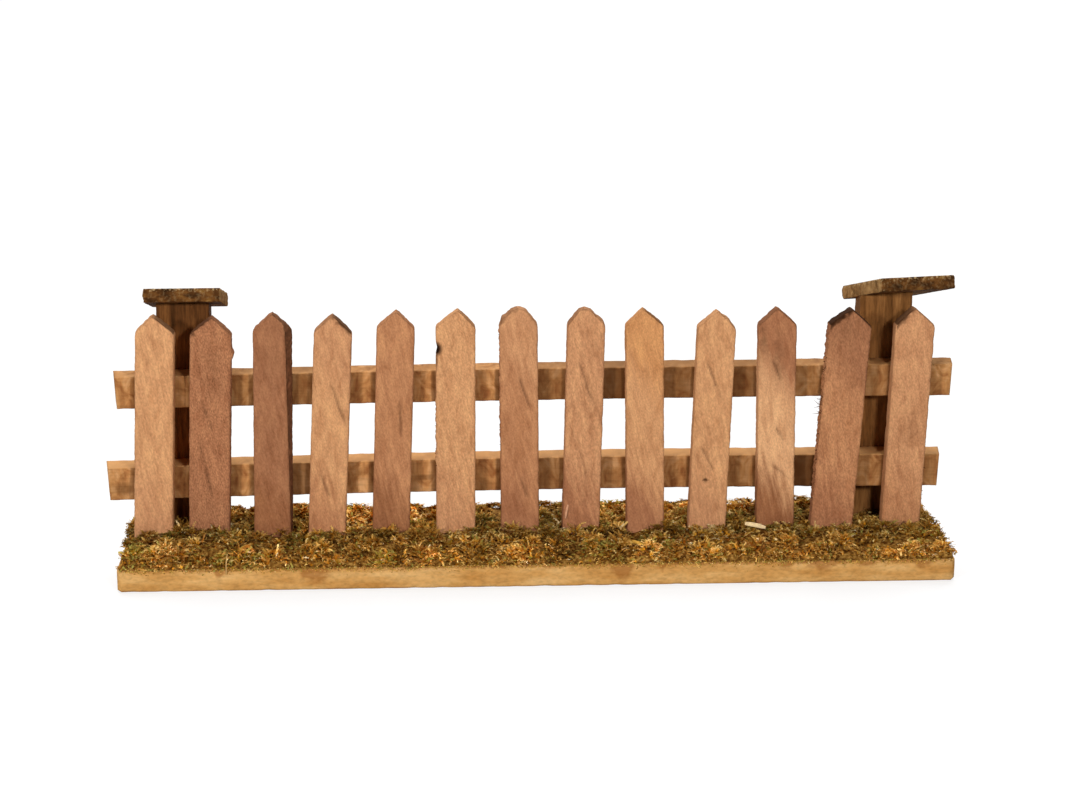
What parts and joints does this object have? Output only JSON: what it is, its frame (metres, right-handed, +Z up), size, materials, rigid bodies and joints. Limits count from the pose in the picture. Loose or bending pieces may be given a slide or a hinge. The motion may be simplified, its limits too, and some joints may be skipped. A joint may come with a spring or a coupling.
{
  "type": "model picket fence on a mossy base board",
  "caption": "Small handmade wooden picket fence for model scenery: crooked gabled strips on bowed rails and capped posts, standing on a base board banked with dried moss.",
  "frame": {"origin": "middle of the base board's underside, on the surface that the fence stands on", "axes": "+X along the fence to its right end as seen from the picket side, +Y from the pickets to the posts, +Z up"},
  "size_m": [0.1555, 0.033, 0.0528],
  "materials": {
    "board_wood": "bare pale sawn board",
    "dried_moss": "dried olive and brown moss",
    "post_wood": "dark stained sawn strip",
    "cap_wood": "dark stained rough plate",
    "rail_wood": "yellow-brown stained sawn strip",
    "picket_wood": "bare reddish-brown sawn strip"
  },
  "bodies": {
    "root": {"base_board": "board_wood", "moss_bed": "dried_moss", "left_post": "post_wood", "right_post": "post_wood", "left_cap": "cap_wood", "right_cap": "cap_wood", "upper_rail": "rail_wood", "lower_rail": "rail_wood", "picket_01": "picket_wood", "picket_02": "picket_wood", "picket_03": "picket_wood", "picket_04": "picket_wood", "picket_05": "picket_wood", "picket_06": "picket_wood", "picket_07": "picket_wood", "picket_08": "picket_wood", "picket_09": "picket_wood", "picket_10": "picket_wood", "picket_11": "picket_wood", "picket_12": "picket_wood", "picket_13": "picket_wood"}
  },
  "joints": []
}
